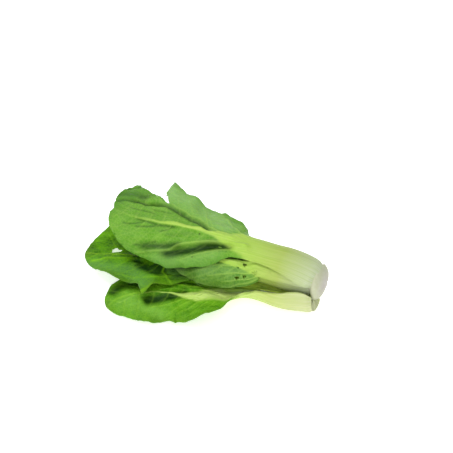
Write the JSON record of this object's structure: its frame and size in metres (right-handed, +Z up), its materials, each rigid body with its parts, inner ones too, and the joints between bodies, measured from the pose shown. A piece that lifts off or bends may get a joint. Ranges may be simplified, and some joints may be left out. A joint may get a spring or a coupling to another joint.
{
  "type": "mustard greens",
  "caption": "Head of green-stemmed mustard greens lying on its side, thick pale petioles joined at a cut stem and opening into wrinkled green blades.",
  "frame": {"origin": "under the centre of the head's box, on the surface that the head lies on", "axes": "+X along the head towards the cut stem, +Z up, -Y the side that the picture looks from"},
  "size_m": [0.1936, 0.1351, 0.0463],
  "materials": {
    "outer_leaf": "waxy green leaf, pale green petiole",
    "inner_leaf": "soft yellow-green leaf, paler petiole",
    "heart_leaf": "tender pale yellow-green leaf",
    "cut_stem": "dull dried cut, off-white"
  },
  "bodies": {
    "root": {"top_leaf": "outer_leaf", "lower_front_leaf": "outer_leaf", "back_leaf": "outer_leaf", "upper_front_leaf": "outer_leaf", "far_left_leaf": "outer_leaf", "upper_back_leaf": "outer_leaf", "inner_front_leaf": "inner_leaf", "inner_back_leaf": "inner_leaf", "inner_top_leaf": "inner_leaf", "heart_lower_leaf": "heart_leaf", "heart_upper_leaf": "heart_leaf", "heart_bud": "heart_leaf", "stem_base": "cut_stem"}
  },
  "joints": []
}
